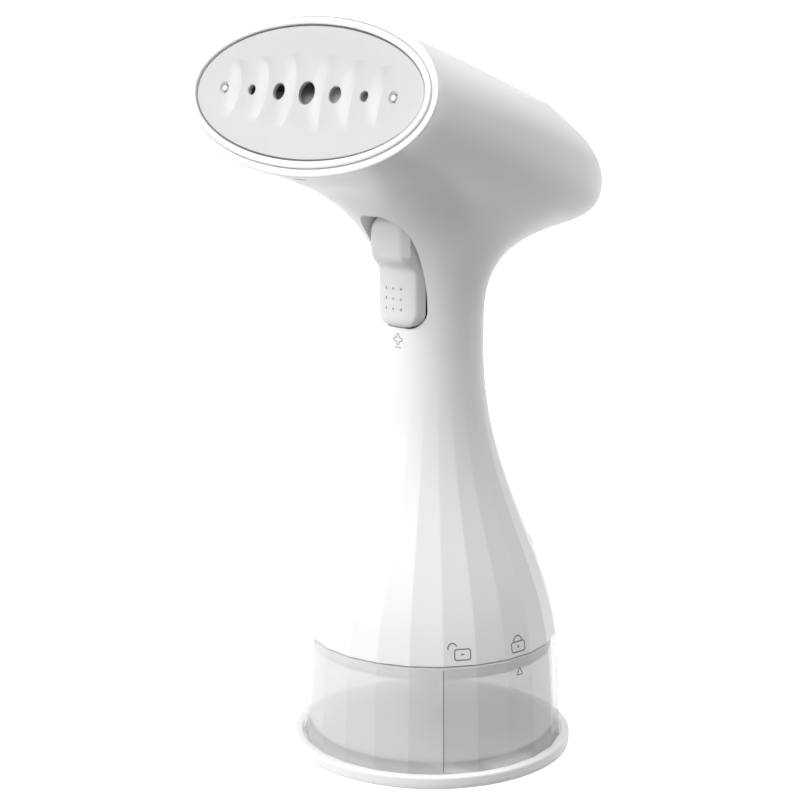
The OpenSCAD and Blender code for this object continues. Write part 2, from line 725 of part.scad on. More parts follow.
// side view of the trigger as [y, height above the slimmest grip]
bend_low = 28.6;
bend_high = 32.6;
module trigger() color([0.9, 0.9, 0.91]) difference() {
    union() {
        trigger_pad();
        block([-1.5, 1.5], [pad_back - 0.5, plunger_tip - rib_gap], [push_z - 2, push_z + 2]);
    }
    translate([-20, hinge_y, hinge_z]) rotate([0, 90, 0]) cylinder(r = pin_r + run, h = 40);
    for (i = [-1:1], k = [0:2]) translate([dimple_pitch * i, pad_y + 0.5, grip_z + 14 + dimple_pitch * k])
        rotate([90, 0, 0]) cylinder(r = 0.5, h = 4);
}

dimple_pitch = 3.65;
module trigger_pad() {
    intersection() {
        translate([-trigger_w, 0, grip_z]) rotate([90, 0, 90]) linear_extrude(2 * trigger_w) polygon([
            [pad_y + 1.6, trigger_low], [pad_y + 0.4, trigger_low + 1.6], [pad_y, trigger_low + 4],
            [pad_y - 0.1, bend_low - 4], [pad_y - 1, bend_low], [pad_y - 3.6, bend_high],
            [pad_y - 4, bend_high + 4], [pad_y - 3.2, trigger_top - 0.6], [pad_y - 2, trigger_top],
            [hinge_y + 1, trigger_top], [hinge_y + 2.8, trigger_top - 2.6], [hinge_y + 1, trigger_top - 6],
            [pad_back, trigger_top - 9], [pad_back, trigger_low + 0.6]]);
        translate([0, 0, grip_z]) rotate([90, 0, 0]) linear_extrude(60)
            pad_outline(trigger_w, trigger_low, trigger_top, 0);
    }
}

module trigger_pin() color(steel) translate([-ear_x[1], hinge_y, hinge_z]) rotate([0, 90, 0])
    cylinder(r = pin_r, h = 2 * ear_x[1]);

module trigger_spring() color(steel) translate([0, 0, spring_z]) rotate([-90, 0, 0])
    coil_spring(2.2, 0.35, pad_back + 0.05, web_y[0] - 0.05, 6, 12);

// ---- face ----------------------------------------------------------------

panel_w = [0.2, 0.2 + panel_t];
boss_points = [[49.2, 0], [-49.2, 0], [0, 18.9], [0, -18.9]];

module front_bezel() color(white) in_head() {
    difference() {
        union() {
            deep(-0.4, bezel_flange) oval(bezel_a - 0.2, bezel_b - 0.2);
            deep(bezel_flange - 0.5, skirt_deep) oval(panel_a + 0.7, panel_b + 0.8);
            deep(latch_w[0] + 0.2, latch_w[1] - 0.2) translate([0, -panel_b - 1])
                square([latch_x - 0.6, 4], center = true);
        }
        deep(-1, panel_w[1]) oval(panel_a + 0.3, panel_b + 0.3);
        deep(-1, skirt_deep + 1) oval(panel_a - 1, panel_b - 1);
    }
}

module steam_panel() color([0.88, 0.88, 0.88]) in_head() difference() {
    union() {
        deep(panel_w[0], panel_w[1]) oval(panel_a, panel_b);
        for (p = boss_points) deep(panel_w[1] - 0.5, 6.4) translate(p) circle(2.1);
    }
    for (i = [-3:3]) deep(-2, panel_w[1] + 1) translate([i * hole_pitch, 0]) circle(hole_r[abs(i)]);
    for (p = boss_points) deep(1.6, 7) translate(p) circle(1);
}

module panel_pins() color(white) in_head() for (s = [-1, 1])
    deep(0.6, 5.1) translate([s * 3 * hole_pitch, 0]) circle(hole_r[3] - 0.5);

gasket = [45.4, 15.6];
block_w = [5.2, 22.2];

module panel_gasket() color([0.75, 0.3, 0.2]) in_head()
    deep(panel_w[1], block_w[0]) oval_ring(gasket[0], gasket[1], gasket[0] - 2, gasket[1] - 2);

// ---- heater --------------------------------------------------------------

heater = [46, 16.2];
element_r = 3;
element_v = 7.6;
element_x = 27;
screw_points = [[37.5, 6.5], [-37.5, 6.5], [37.5, -6.5], [-37.5, -6.5]];
lid_w = [22.3, 24.3];

// U-shaped path of the heating element, lying in the plane w = 18
module element_form(r) {
    translate([0, 18, 0]) {
        for (s = [-1, 1]) translate([-element_x, 0, s * element_v])
            rotate([0, 90, 0]) cylinder(r = r, h = 2 * element_x - 6);
        translate([element_x - 6, 0, 0]) rotate([90, 0, 0]) rotate([0, 0, -90]) rotate_extrude(angle = 180)
            translate([element_v, 0]) circle(r);
    }
}

module heater_block() color(alloy) in_head() difference() {
    deep(block_w[0], block_w[1]) oval(heater[0], heater[1]);
    deep(block_w[0] - 1, 12.5) oval(gasket[0] - 2.2, gasket[1] - 2.2);
    element_form(element_r + fit);
    for (s = [-1, 1]) deep(18, 23) translate([-element_x + 1, s * element_v])
        square(2 * element_r + 0.4, center = true);
    deep(12, 23) translate([nozzle_x, 0]) circle(2);
    for (p = screw_points) deep(14, 23) translate(p) circle(screw_shank + 0.05);
}

module heating_element() color([0.45, 0.42, 0.4]) in_head() {
    element_form(element_r);
    for (s = [-1, 1]) deep(18, 30) translate([-element_x + 1, s * element_v]) circle(1.2);
}

module heater_lid() color(alloy) in_head() difference() {
    deep(lid_w[0], lid_w[1]) oval(heater[0], heater[1]);
    deep(20, 26) translate([nozzle_x, 0]) circle(3.2);
    for (s = [-1, 1]) deep(20, 26) translate([-element_x + 1, s * element_v]) circle(2.2);
    for (p = screw_points) deep(20, 26) translate(p) circle(screw_shank + fit);
}

module heater_screws() color(steel) in_head()
    for (p = screw_points) translate([p[0], lid_w[1], p[1]]) rotate([90, 0, 0]) screw(2.6, 1.6, 8);

module steam_inlet() color(brass) in_head() difference() {
    union() {
        deep(22.25, nozzle_w) translate([nozzle_x, 0]) circle(inlet_r);
        deep(22.25, 28) translate([nozzle_x, 0]) circle(3.1);
    }
    deep(20, nozzle_w + 1) translate([nozzle_x, 0]) circle(1.2);
}

module thermostat() color([0.2, 0.2, 0.22]) in_head() {
    deep(lid_w[1], 30.5) translate([17, 0]) circle(8);
    for (s = [-1, 1]) deep(30, 35.8) translate([17 + 4 * s, 0]) square([0.8, 4], center = true);
}

module thermal_fuse() color(steel) in_head() translate([0, lid_w[1] + 2.1, 9.4]) rotate([0, 90, 0])
    cylinder(r = 2, h = 14, center = true);

module heater_carrier() color([0.25, 0.25, 0.27]) in_head() difference() {
    deep(6.5, 12.5) oval(panel_a - 1.3, panel_b - 1.3);
    deep(6, 13) oval(heater[0] + 0.3, heater[1] + 0.3);
    for (p = boss_points) deep(6, 13) translate(p) circle(1.1);
}

module carrier_screws() color(steel) in_head() for (p = boss_points) {
    deep(12.5, 14) translate(p) circle(1.9);
    deep(2.4, 12.6) translate(p) circle(0.95);
}

shield_w = [38, 39.2];
module heat_shield() color([0.8, 0.75, 0.6]) in_head() difference() {
    union() {
        deep(shield_w[0], shield_w[1]) oval(44, 17);
        for (p = [[32, 0], [-32, 0]]) deep(lid_w[1], shield_w[1]) translate(p) circle(2.4);
    }
    deep(30, 45) translate([nozzle_x, 0]) circle(5.4);
    deep(30, 45) translate([17, 0]) oval(7.5, 4, 36);
}

foot_pad();
base_disc();
tank_shell();
tank_lid();
tank_lid_seal();
suction_tube();
suction_strainer();
filler_plug();
dock_seal();
main_housing();
dock_cover();
dock_screws();
pump_mounts();
pump_yoke();
pump_coil();
pump_tube();
pump_plunger();
pump_spring();
suction_hose();
supply_hose();
hose_sleeves();
hose_clips();
control_board();
board_components();
terminal_block();
cord_gland();
gland_nut();
neck_chassis();
chassis_screws();
switch_body();
switch_plunger();
trigger();
trigger_pin();
trigger_spring();
front_bezel();
steam_panel();
panel_pins();
panel_gasket();
heater_block();
heating_element();
heater_lid();
heater_screws();
heater_carrier();
carrier_screws();
thermostat();
thermal_fuse();
steam_inlet();
heat_shield();
heater_leads();
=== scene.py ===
"""Looks of the handheld garment steamer.

Shapes are worked out in millimetres in the frame's own axes (front -Y, +Z up, origin under
the foot) and turned into metres only where a mesh is made. The visible shells are built here
as smooth meshes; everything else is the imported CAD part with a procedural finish.
"""

import json
import math

import bmesh
import bpy
import numpy as np
from mathutils import Matrix, Vector


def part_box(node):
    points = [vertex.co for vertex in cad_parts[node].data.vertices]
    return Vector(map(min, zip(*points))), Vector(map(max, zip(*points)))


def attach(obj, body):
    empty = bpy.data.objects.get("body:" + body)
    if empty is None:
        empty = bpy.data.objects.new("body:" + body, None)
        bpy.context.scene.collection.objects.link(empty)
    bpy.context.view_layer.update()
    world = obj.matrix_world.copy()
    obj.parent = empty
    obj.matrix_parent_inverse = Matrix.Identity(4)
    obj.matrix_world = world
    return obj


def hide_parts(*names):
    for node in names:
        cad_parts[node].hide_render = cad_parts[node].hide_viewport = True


MM = 0.001
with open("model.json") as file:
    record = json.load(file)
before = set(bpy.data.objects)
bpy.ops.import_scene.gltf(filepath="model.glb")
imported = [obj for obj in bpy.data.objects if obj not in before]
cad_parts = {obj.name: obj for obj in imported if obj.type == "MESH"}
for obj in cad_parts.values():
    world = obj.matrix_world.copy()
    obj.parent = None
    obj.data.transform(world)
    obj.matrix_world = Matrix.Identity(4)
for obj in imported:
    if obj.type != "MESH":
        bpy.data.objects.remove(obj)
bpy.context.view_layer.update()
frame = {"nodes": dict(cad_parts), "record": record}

# ---- driving dimensions, mm ------------------------------------------------

FACETS = 24
FACET_TURN = 360 / FACETS
FACET_PHASE = 3.3
FOOT_R, FOOT_H = 51.5, 5.0
TANK_R, TANK_TAPER, TANK_WALL = 48.2, 2.0, 2.2
SEAM_Z, SEAM_GAP = 43.2, 0.5
BODY_Z = SEAM_Z + SEAM_GAP
BODY_R = TANK_R - TANK_TAPER - 0.35
GRIP_Z, GRIP_R = 151.4, 18.2
WALL = 2.2
HEAD_A, HEAD_B, HEAD_LEN = 60.5, 29.9, 136.0
FACE_TILT = math.radians(16.4)
FACE_Y, FACE_Z = -62.6, 242.9
NECK_BLEND = 31.8
HEAD_MID_Z = FACE_Z + FACE_Y * math.tan(FACE_TILT)
RIM_ZONE = 17.0
LIP_ROUND = 0.9
RIM_FACE = 0.4
BEZEL_A, BEZEL_B = HEAD_A - 3.0, HEAD_B - 4.2
PANEL_A, PANEL_B = BEZEL_A - 3.2, BEZEL_B - 3.2
PANEL_W0, PANEL_W1 = 0.2, 2.6
HOLE_PITCH = 13.5
HOLE_R = [3.8, 2.75, 1.7, 1.5]
GLAND_Y, GLAND_Z = 41.01, 64.7
BOSS_IN, BOSS_OUT = GLAND_Y - 6.2, GLAND_Y + 4.4
GLAND_R = 5.9


# ---- camera ----------------------------------------------------------------

def add_camera():
    around, down, aside = math.radians(43.26), math.radians(11.98), math.radians(-0.96)
    level = Vector((-math.sin(around), math.cos(around), 0))
    side = Vector((math.cos(around), math.sin(around), 0))
    ahead = math.cos(aside) * level + math.sin(aside) * side
    right = math.cos(aside) * side - math.sin(aside) * level
    look = math.cos(down) * ahead - math.sin(down) * Vector((0, 0, 1))
    up = right.cross(look)
    camera = bpy.data.objects.new("camera", bpy.data.cameras.new("camera"))
    camera.data.sensor_width = 36
    camera.data.lens = 90.8
    camera.data.clip_end = 100
    turn = Matrix((right, up, -look)).transposed().to_4x4()
    camera.matrix_world = Matrix.Translation(Vector((491.3, -522.0, 281.7)) * MM) @ turn
    bpy.context.scene.collection.objects.link(camera)
    bpy.context.scene.camera = camera


# ---- the skin's curves -------------------------------------------------------

_t = np.linspace(0, 1, 801)
_flank = (
    np.outer((1 - _t) ** 3, (BODY_R, BODY_Z))
    + np.outer(3 * (1 - _t) ** 2 * _t, (BODY_R - 4, BODY_Z + 33.7))
    + np.outer(3 * (1 - _t) * _t**2, (GRIP_R, GRIP_Z - 49.9))
    + np.outer(_t**3, (GRIP_R, GRIP_Z))
)


def flank_at(z):
    return np.interp(z, _flank[:, 1], _flank[:, 0])


def facet_share(angle):
    """Share of the corner radius at an angle in degrees: 1 on a facet's edge."""
    off = np.mod(angle - FACET_PHASE, FACET_TURN) - FACET_TURN / 2
    return math.cos(math.radians(FACET_TURN / 2)) / np.cos(np.radians(off))


def body_at(angle, z):
    u = np.clip((GRIP_Z - 2 - z) / 62, 0, 1)
    fade = u * u * (3 - 2 * u)
    return flank_at(z) * (1 - fade * (1 - facet_share(angle)))


def tank_at(z):
    return TANK_R - TANK_TAPER * (np.maximum(z - FOOT_H, 0) / (SEAM_Z - FOOT_H)) ** 1.5


def to_head(p):
    """Points as (sideways, behind the face, up the face)."""
    dy, dz = p[..., 1] - FACE_Y, p[..., 2] - FACE_Z
    c, s = math.cos(FACE_TILT), math.sin(FACE_TILT)
    return np.stack([p[..., 0], dy * c - dz * s, dy * s + dz * c], -1)


def from_head(q):
    q = np.asarray(q, float)
    c, s = math.cos(FACE_TILT), math.sin(FACE_TILT)
    return np.stack([
        q[..., 0],
        FACE_Y + q[..., 1] * c + q[..., 2] * s,
        FACE_Z - q[..., 1] * s + q[..., 2] * c,
    ], -1)


def head_axes(w):
    """Half width, half height above, half height below, drop and corner power at depth w."""
    lip = 1 - np.exp(-np.maximum(w, 0) / 5)
    u = np.clip(w / HEAD_LEN, 0, 0.9999)
    a = np.maximum(0.5, (HEAD_A - 4 * lip) * (1 - u**2.7) ** (1 / 2.6))
    above, below = HEAD_B - 2.2 * lip, HEAD_B - 1.5 - 0.7 * lip
    top = np.maximum(0.5, above * (1 - 0.15 * u) * (1 - u**6.9) ** (1 / 2.1))
    under = np.maximum(0.5, below * (1 + 0.1 * u) * (1 - u**3.4) ** (1 / 1.44))
    return a, top, under, 6.2 * u**1.5, 2 + 0.3 * np.minimum(1.6 * u, 1)


def head_gap(p):
    q = to_head(p)
    a, top, under, drop, n = head_axes(q[..., 1])
    v = q[..., 2] + drop
    b = np.where(v > 0, top, under)
    rho = ((np.abs(q[..., 0]) / a) ** n + (np.abs(v) / b) ** n) ** (1 / n)
    return np.maximum((rho - 1) * np.minimum(a, b), q[..., 1] - HEAD_LEN)


def skin_gap(p):
    """Signed gap from the housing's outer skin, negative inside."""
    p = np.asarray(p, float)
    r = np.hypot(p[..., 0], p[..., 1])
    angle = np.degrees(np.arctan2(p[..., 0], -p[..., 1]))
    low = r - body_at(angle, p[..., 2])
    head = head_gap(p)
    grip = np.maximum(r - GRIP_R, p[..., 2] - HEAD_MID_Z + NECK_BLEND * 0.3 + 0.5)
    h = np.maximum(NECK_BLEND - np.abs(head - grip), 0) / NECK_BLEND
    return np.where(p[..., 2] < GRIP_Z, low, np.minimum(head, grip) - h * h * NECK_BLEND / 4)


def gradient(p, step=0.35):
    """Outward direction of the skin; the step rounds the facets' edges a little."""
    p = np.asarray(p, float)
    g = np.stack([
        skin_gap(p + step * e) - skin_gap(p - step * e) for e in np.eye(3)
    ], -1)
    return g / np.maximum(np.linalg.norm(g, axis=-1, keepdims=True), 1e-9)


# ---- mesh helpers ------------------------------------------------------------

def make_object(name, verts, faces, smooth=40):
    mesh = bpy.data.meshes.new(name)
    mesh.from_pydata([tuple(v) for v in np.asarray(verts, float) * MM], [], faces)
    mesh.validate()
    obj = bpy.data.objects.new(name, mesh)
    bpy.context.scene.collection.objects.link(obj)
    bm = bmesh.new()
    bm.from_mesh(mesh)
    bmesh.ops.recalc_face_normals(bm, faces=bm.faces)
    bm.to_mesh(mesh)
    bm.free()
    if smooth:
        mesh.polygons.foreach_set("use_smooth", [True] * len(mesh.polygons))
        mesh.set_sharp_from_angle(angle=math.radians(smooth))
    return obj


def stack(rings, closed=False):
    """Vertices and faces of a stack of equal rings, capped at both ends unless it closes."""
    n = len(rings[0])
    count = len(rings)
    last = count if closed else count - 1
    faces = []
    for j in range(last):
        a, b = j * n, ((j + 1) % count) * n
        faces += [(a + i, a + (i + 1) % n, b + (i + 1) % n, b + i) for i in range(n)]
    if not closed:
        faces += [tuple(range(n))[::-1], tuple((count - 1) * n + i for i in range(n))]
    return np.concatenate(rings), faces


def lathe(name, profile, count=192, closed=True, smooth=35):
    """Turns (radius, height) points round Z; the profile is a loop clear of the axis."""
    a = np.radians(np.arange(count) * 360 / count)
    rings = [
        np.stack([r * np.sin(a), -r * np.cos(a), np.full(count, z)], -1) for r, z in profile
    ]
    return make_object(name, *stack(rings, closed), smooth=smooth)


def remove(obj):
    mesh = obj.data
    bpy.data.objects.remove(obj)
    bpy.data.meshes.remove(mesh)


def combine(obj, tool, operation="DIFFERENCE"):
    """Applies a Boolean of tool to obj and removes the tool."""
    mod = obj.modifiers.new("cut", "BOOLEAN")
    mod.object, mod.operation, mod.solver = tool, operation, "MANIFOLD"
    graph = bpy.context.evaluated_depsgraph_get()
    mesh = bpy.data.meshes.new_from_object(obj.evaluated_get(graph))
    if len(mesh.polygons) == 0:
        raise RuntimeError(f"{obj.name}: cutting with {tool.name} left nothing")
    obj.modifiers.clear()
    old, obj.data = obj.data, mesh
    bpy.data.meshes.remove(old)
    remove(tool)
    return obj


def flat_outline(points, place, depth0, depth1):
    """A prism: outline points (u, v) set between two depths by place(u, v, depth)."""
    u, v = np.asarray(points, float).T
    return stack([place(u, v, np.full(len(u), d)) for d in (depth0, depth1)])


def on_face(u, v, w):
    return from_head(np.stack([u, w, v], -1))


def on_grip(u, v, y):
    return np.stack([u, y, v], -1)


def on_rear(u, v, y):
    return np.stack([u, y, GLAND_Z + v], -1)


def ellipse(a, b, count=160):
    t = np.radians(np.arange(count) * 360 / count)
    return np.stack([a * np.cos(t), b * np.sin(t)], -1)


def prism(name, points, place, depth0, depth1):
    return make_object(name, *flat_outline(points, place, depth0, depth1), smooth=30)


# ---- housing -------------------------------------------------------------------

# degrees from a facet's edge; close together next to it, where the shading turns
FACET_COLUMNS = [0, 0.5, 1.3, 3.6, 7.5, 11.4, 13.7, 14.5]


def column_angles(plain=0):
    if plain:
        return FACET_PHASE + np.arange(plain) * 360 / plain
    return np.concatenate([
        FACET_PHASE + FACET_TURN * i + np.array(FACET_COLUMNS) for i in range(FACETS)
    ])


def body_solid(name, level, rise_step, plain=0):
    """Body, grip and the head behind the rim zone, moved in by level, as a closed solid."""
    angles = column_angles(plain)
    a = np.radians(angles)
    rings = []
    heights = np.linspace(BODY_Z, GRIP_Z, 56)
    if level == 0:
        heights = np.concatenate([[BODY_Z, BODY_Z + 0.12, BODY_Z + 0.35], heights[1:]])
    else:
        heights = np.concatenate([[BODY_Z - 1], heights])
    for k, z in enumerate(heights):
        if level == 0:
            r = body_at(angles, z) - (0.3, 0.08, 0.0)[min(k, 2)]
        else:
            r = np.full(len(angles), flank_at(z) * math.cos(math.radians(FACET_TURN / 2)))
            r += level * 1.06
        rings.append(np.stack([r * np.sin(a), -r * np.cos(a), np.full(len(a), z)], -1))
    rises = np.radians(np.concatenate([
        np.arange(-74, -60, 0.7), np.arange(-60, 84, rise_step), [86, 88.5]
    ]))
    for rise in rises:
        ray = np.stack([
            math.cos(rise) * np.sin(a), -math.cos(rise) * np.cos(a),
            np.full(len(a), math.sin(rise)),
        ], -1)
        low, high = np.zeros(len(a)), np.full(len(a), 220.0)
        for _ in range(34):
            mid = (low + high) / 2
            point = np.array([0, 0, HEAD_MID_Z]) + mid[:, None] * ray
            inside = (skin_gap(point) < level) & (to_head(point)[:, 1] > -25)
            low, high = np.where(inside, mid, low), np.where(inside, high, mid)
        rings.append(np.array([0, 0, HEAD_MID_Z]) + low[:, None] * ray)
    obj = make_object(name, *stack(rings))
    cut = prism("cut", [(-90, -90), (90, -90), (90, 90), (-90, 90)], on_face, -80, RIM_ZONE)
    return combine(obj, cut)


def rim_solid(name, level, start, count):
    """The head's mouth as rings of exact ovals, from depth start to the rim zone's end."""
    proud = 0.01 + HEAD_A * (1 - math.cos(math.pi / count))
    if level == 0:
        turn = np.radians(np.arange(0, 91, 15))
        steps = [
            (start + LIP_ROUND * (1 - math.sin(t)), -LIP_ROUND * (1 - math.cos(t)))
            for t in turn[::-1]
        ]
    else:
        steps = [(start, level)]
    steps += [(w, level) for w in (2.2, 3.4, 5.0, 7, 9, 11, 13, 15) if w > start + 1]
    steps += [(RIM_ZONE, level + proud), (RIM_ZONE + 1, level - 1)]
    t = np.radians(np.arange(count) * 360 / count)
    rings = []
    for w, inset in steps:
        a, top, under, drop, n = head_axes(np.float64(w))
        power = 2 / n
        x = (a + inset) * np.sign(np.sin(t)) * np.abs(np.sin(t)) ** power
        b = np.where(np.cos(t) > 0, top, under) + inset
        v = b * np.sign(np.cos(t)) * np.abs(np.cos(t)) ** power - drop
        rings.append(from_head(np.stack([x, np.full(count, w), v], -1)))
    return make_object(name, *stack(rings))


def cord_boss(name):
    edge = 1.2
    turn = np.radians(np.arange(0, 91, 18))
    radius = GLAND_R + 3.5
    rings = []
    circle = ellipse(1, 1, 96)
    for r, y in [(radius, BOSS_IN)] + [
        (radius - edge * (1 - math.cos(t)), BOSS_OUT - edge * (1 - math.sin(t))) for t in turn
    ]:
        rings.append(on_rear(circle[:, 0] * r, circle[:, 1] * r, np.full(96, y)))
    return make_object(name, *stack(rings))


def rod(name, x, y, r, z0, z1, count=40):
    circle = ellipse(r, r, count)
    rings = [
        np.stack([x + circle[:, 0], y + circle[:, 1], np.full(count, z)], -1) for z in (z0, z1)
    ]
    return make_object(name, *stack(rings))


def slot_outline(half, low, high, corner, top_corner):
    """Straight sides with round ends, as points (sideways, height)."""
    ends = []
    for side, level, r, start in [(1, high, top_corner, 0), (-1, high, top_corner, 90),
                                  (-1, low, corner, 180), (1, low, corner, 270)]:
        t = np.radians(start + np.arange(0, 91, 7.5))
        middle = level - r if level == high else level + r
        ends.append(np.stack([side * (half - r) + r * np.cos(t), middle + r * np.sin(t)], -1))
    return np.concatenate(ends)


def shade_skin(obj):
    """Gives the skin the exact direction of its formula, and leaves cut walls as they are."""
    mesh = obj.data
    mesh.polygons.foreach_set("use_smooth", [True] * len(mesh.polygons))
    mesh.set_sharp_from_angle(angle=math.radians(35))
    loops = len(mesh.loops)
    normals = np.empty(loops * 3)
    mesh.corner_normals.foreach_get("vector", normals)
    normals = normals.reshape(-1, 3)
    vertex = np.empty(loops, int)
    mesh.loops.foreach_get("vertex_index", vertex)
    co = np.empty(len(mesh.vertices) * 3)
    mesh.vertices.foreach_get("co", co)
    co = co.reshape(-1, 3) / MM
    sizes = np.empty(len(mesh.polygons), int)
    mesh.polygons.foreach_get("loop_total", sizes)
    face = np.repeat(np.arange(len(sizes)), sizes)
    flat = np.empty(len(sizes) * 3)
    mesh.polygons.foreach_get("normal", flat)
    flat = flat.reshape(-1, 3)
    gap = skin_gap(co)
    off = np.zeros(len(sizes))
    np.maximum.at(off, face, np.abs(gap[vertex]))
    middle = np.zeros((len(sizes), 3))
    np.add.at(middle, face, co[vertex])
    middle /= sizes[:, None]
    out = gradient(middle)
    depth = to_head(middle)[:, 1]
    skin = (off < 0.08) & ((flat * out).sum(1) > 0.85) & (depth > RIM_FACE + LIP_ROUND)
    use = skin[face]
    near = co[vertex] + 0.04 * (middle[face] - co[vertex])
    normals[use] = gradient(near[use])
    mesh.normals_split_custom_set([tuple(n) for n in normals])


def add_housing():
    shell = body_solid("housing_shell", 0, 1.2)
    combine(shell, rim_solid("rim", 0, RIM_FACE, 256), "UNION")
    combine(shell, cord_boss("boss"), "UNION")
    cavity = body_solid("cavity", -WALL, 4, plain=72)
    combine(cavity, rim_solid("mouth", -WALL, 4.6, 128), "UNION")
    combine(cavity, cord_boss("boss"))
    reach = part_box("dock_screws")[1].x / MM - 2.8
    for x in (-1, 1):
        for y in (-1, 1):
            combine(cavity, rod("post", x * reach, y * reach / math.tan(math.radians(60)),
                                3.8, SEAM_Z + 12.1, SEAM_Z + 25))
    collar = slot_outline(12.7, GRIP_Z + 5.5, GRIP_Z + 49.4, 8.1, 9.5)
    combine(cavity, prism("cut", collar, on_grip, -40, -16.2))
    combine(shell, cavity)
    combine(shell, prism("cut", ellipse(BEZEL_A, BEZEL_B, 200), on_face, -3, 2.0))
    combine(shell, prism("cut", ellipse(PANEL_A + 0.9, PANEL_B + 1, 200), on_face, 1, 10))
    latch = [(-3, -HEAD_B - 7), (3, -HEAD_B - 7), (3, -HEAD_B + 7), (-3, -HEAD_B + 7)]
    combine(shell, prism("cut", latch, on_face, 5.0, 6.8))
    slot = slot_outline(10.9, GRIP_Z + 7.1, GRIP_Z + 47.8, 6.5, 7.9)
    combine(shell, prism("cut", slot, on_grip, -40, -10))
    combine(shell, prism("cut", ellipse(GLAND_R + 0.1, GLAND_R + 0.1, 64), on_rear, 30, 50))
    shade_skin(shell)
    return finish_piece(shell, "housing", "white_shell", "main_housing")


# ---- steam face ------------------------------------------------------------------

def add_bezel():
    outer, skirt = (BEZEL_A - 0.3, BEZEL_B - 0.3), (PANEL_A + 0.7, PANEL_B + 0.8)
    inner, seat = (PANEL_A + 0.45, PANEL_B + 0.45), (PANEL_A - 1, PANEL_B - 1)

    def at(w, oval, grow=0.0):
        return w, oval[0] + grow, oval[1] + grow

    profile = [
        at(9, seat), at(2.6, seat), at(2.6, inner), at(0.3, inner), at(-0.05, inner, 0.06),
        at(-0.28, inner, 0.24), at(-0.4, inner, 0.6), at(-0.44, inner, 1.1),
        at(-0.44, outer, -0.9), at(-0.38, outer, -0.45), at(-0.22, outer, -0.14),
        at(0.05, outer), at(1.9, outer), at(1.9, skirt), at(9, skirt),
    ]
    rings = []
    for w, a, b in profile:
        oval = ellipse(a, b, 256)
        rings.append(on_face(oval[:, 0], oval[:, 1], np.full(256, w)))
    bezel = make_object("bezel_ring", *stack(rings, closed=True), smooth=50)
    return finish_piece(bezel, "housing", "white_shell", "front_bezel")


def add_panel_gap_shade():
    """A dark ring set in the gap between the steam panel and its bezel: painted shade standing in
    for the gap's shadow.
    """
    rings = []
    section = [(2.55, -0.3), (1.0, -0.3), (0.85, -0.1), (0.85, 0.3), (1.0, 0.42), (2.55, 0.42)]
    for w, grow in section:
        oval = ellipse(PANEL_A + grow, PANEL_B + grow, 256)
        rings.append(on_face(oval[:, 0], oval[:, 1], np.full(256, w)))
    gap_shade_ring = make_object("panel_gap_shade", *stack(rings, closed=True), smooth=50)
    # dark rubber finish on this ring is painted shade for the gap, not a real seal
    return finish_piece(gap_shade_ring, "housing", "rubber_grey")


# the panel's valleys on each side: [place in hole pitches, half height, outward bow at the ends]
VALLEYS = [(0.5, 13.0, 2.3), (1.5, 11.5, 2.1), (2.5, 10.0, 1.6)]


def panel_depth(x, v):
    """Depth of the steam panel's front behind the face plane: a shallow dish with valleys."""
    e = np.sqrt((x / PANEL_A) ** 2 + (v / PANEL_B) ** 2) * (PANEL_A / (PANEL_A - 0.15))
    inward = np.clip((1 - e) / 0.55, 0, 1)
    depth = 0.85 * inward * inward * (3 - 2 * inward)
    cut = np.zeros_like(x)
    for pitch, height, bow in VALLEYS:
        line = pitch * HOLE_PITCH + bow * (v / height) ** 2
        along = np.clip(1 - (v / height) ** 2, 0, 1) ** 0.8
        away = np.clip(1 - np.abs(np.abs(x) - line) / (0.5 * HOLE_PITCH), 0, 1)
        cut = np.maximum(cut, 1.15 * along * away**2.4)
    edge = np.clip((e - 0.985) / 0.015, 0, 1)
    return PANEL_W0 + depth + cut + 0.35 * edge**2


def add_panel():
    columns, rows = 560, 150
    s = np.sin(np.linspace(-1, 1, columns) * math.pi / 2 * 0.9995) / math.sin(math.pi / 2 * 0.9995)
    s = s * 0.99985
    t = np.sin(np.linspace(-1, 1, rows) * math.pi / 2 * 0.92) / math.sin(math.pi / 2 * 0.92)
    x = (PANEL_A - 0.15) * s[:, None] + 0 * t[None, :]
    v = (PANEL_B - 0.15) * np.sqrt(1 - s[:, None] ** 2) * t[None, :]
    front = on_face(x, v, panel_depth(x, v)).reshape(-1, 3)
    back = on_face(x, v, np.full_like(x, PANEL_W1)).reshape(-1, 3)
    shift = columns * rows
    faces = []
    for i in range(columns - 1):
        for j in range(rows - 1):
            k = i * rows + j
            faces.append((k, k + 1, k + rows + 1, k + rows))
            faces.append((shift + k, shift + k + rows, shift + k + rows + 1, shift + k + 1))
    edge = (
        [i * rows for i in range(columns)]
        + [(columns - 1) * rows + j for j in range(1, rows)]
        + [i * rows + rows - 1 for i in range(columns - 2, -1, -1)]
        + [j for j in range(rows - 2, 0, -1)]
    )
    for k, e in enumerate(edge):
        f = edge[(k + 1) % len(edge)]
        faces.append((e, f, shift + f, shift + e))
    panel = make_object("steam_panel_relief", np.concatenate([front, back]), faces, smooth=0)
    for i in range(-3, 4):
        r = HOLE_R[abs(i)]
        rings = []
        circle = ellipse(1, 1, 72)
        for radius, w in [(r + 1.2, -0.5), (r + 0.5, 0.85), (r + 0.22, 1.12), (r + 0.06, 1.3),
                          (r, 1.5), (r, 4)]:
            rings.append(on_face(i * HOLE_PITCH + circle[:, 0] * radius,
                                 circle[:, 1] * radius, np.full(72, w)))
        combine(panel, make_object("cut", *stack(rings)))
    panel.data.polygons.foreach_set("use_smooth", [True] * len(panel.data.polygons))
    panel.data.set_sharp_from_angle(angle=math.radians(32))
    return finish_piece(panel, "housing", "panel_grey", "steam_panel")


